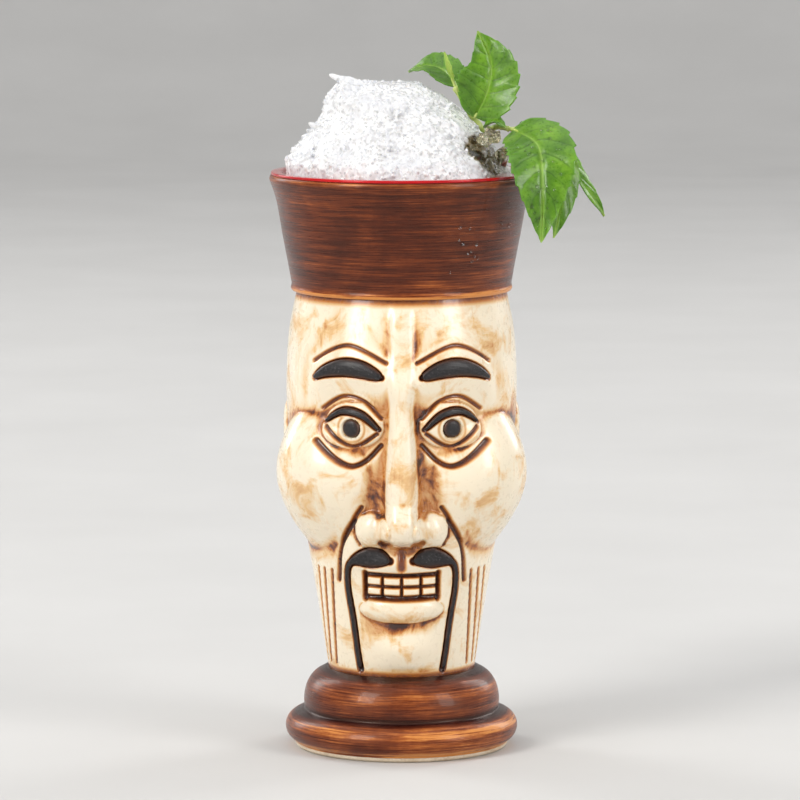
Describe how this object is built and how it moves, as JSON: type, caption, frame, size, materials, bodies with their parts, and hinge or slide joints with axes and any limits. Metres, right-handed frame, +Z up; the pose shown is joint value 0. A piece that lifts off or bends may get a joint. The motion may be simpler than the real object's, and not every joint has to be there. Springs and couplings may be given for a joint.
{
  "type": "tiki mug",
  "caption": "Ceramic cocktail mug shaped as a carved head in a flared hat on a stepped round base, filled with crushed ice and a sprig of mint.",
  "frame": {"origin": "centre of the round foot, on the table", "axes": "+Z up along the mug's axis, -Y out of the face, +X towards the mint side (the viewer's right when facing the mug)"},
  "size_m": [0.1042, 0.0822, 0.2236],
  "materials": {
    "bisque": "matte",
    "brown_glaze": "gloss",
    "cream_glaze": "satin",
    "black_glaze": "satin",
    "red_glaze": "gloss",
    "packed_ice": "satin",
    "clear_ice": "gloss",
    "mint_leaf": "satin",
    "mint_stem": "satin"
  },
  "bodies": {
    "mug": {"dry_foot": "bisque", "pedestal": "brown_glaze", "face_shell": "cream_glaze", "hat_band": "brown_glaze", "red_liner": "red_glaze", "left_brow": "black_glaze", "left_lash_line": "black_glaze", "left_moustache": "black_glaze", "left_pupil": "black_glaze", "right_brow": "black_glaze", "right_lash_line": "black_glaze", "right_moustache": "black_glaze", "right_pupil": "black_glaze"},
    "ice_heap": {"ice_plug": "packed_ice", "ice_mound": "packed_ice", "clear_ice_lump_1": "clear_ice", "clear_ice_lump_2": "clear_ice", "clear_ice_lump_3": "clear_ice"},
    "mint_sprig": {"main_stem": "mint_stem", "side_stem": "mint_stem", "tall_leaf": "mint_leaf", "back_leaf": "mint_leaf", "young_leaf": "mint_leaf", "curled_leaf": "mint_leaf", "drooping_leaf": "mint_leaf", "under_leaf": "mint_leaf", "side_leaf": "mint_leaf"}
  },
  "joints": [
    {"name": "ice_lift", "type": "slide", "parent": "mug", "child": "ice_heap", "axis": [0, 0, 1], "range_m": [0, 0.06]},
    {"name": "mint_pull", "type": "slide", "parent": "ice_heap", "child": "mint_sprig", "axis": [0, 0, 1], "range_m": [0, 0.045]}
  ]
}
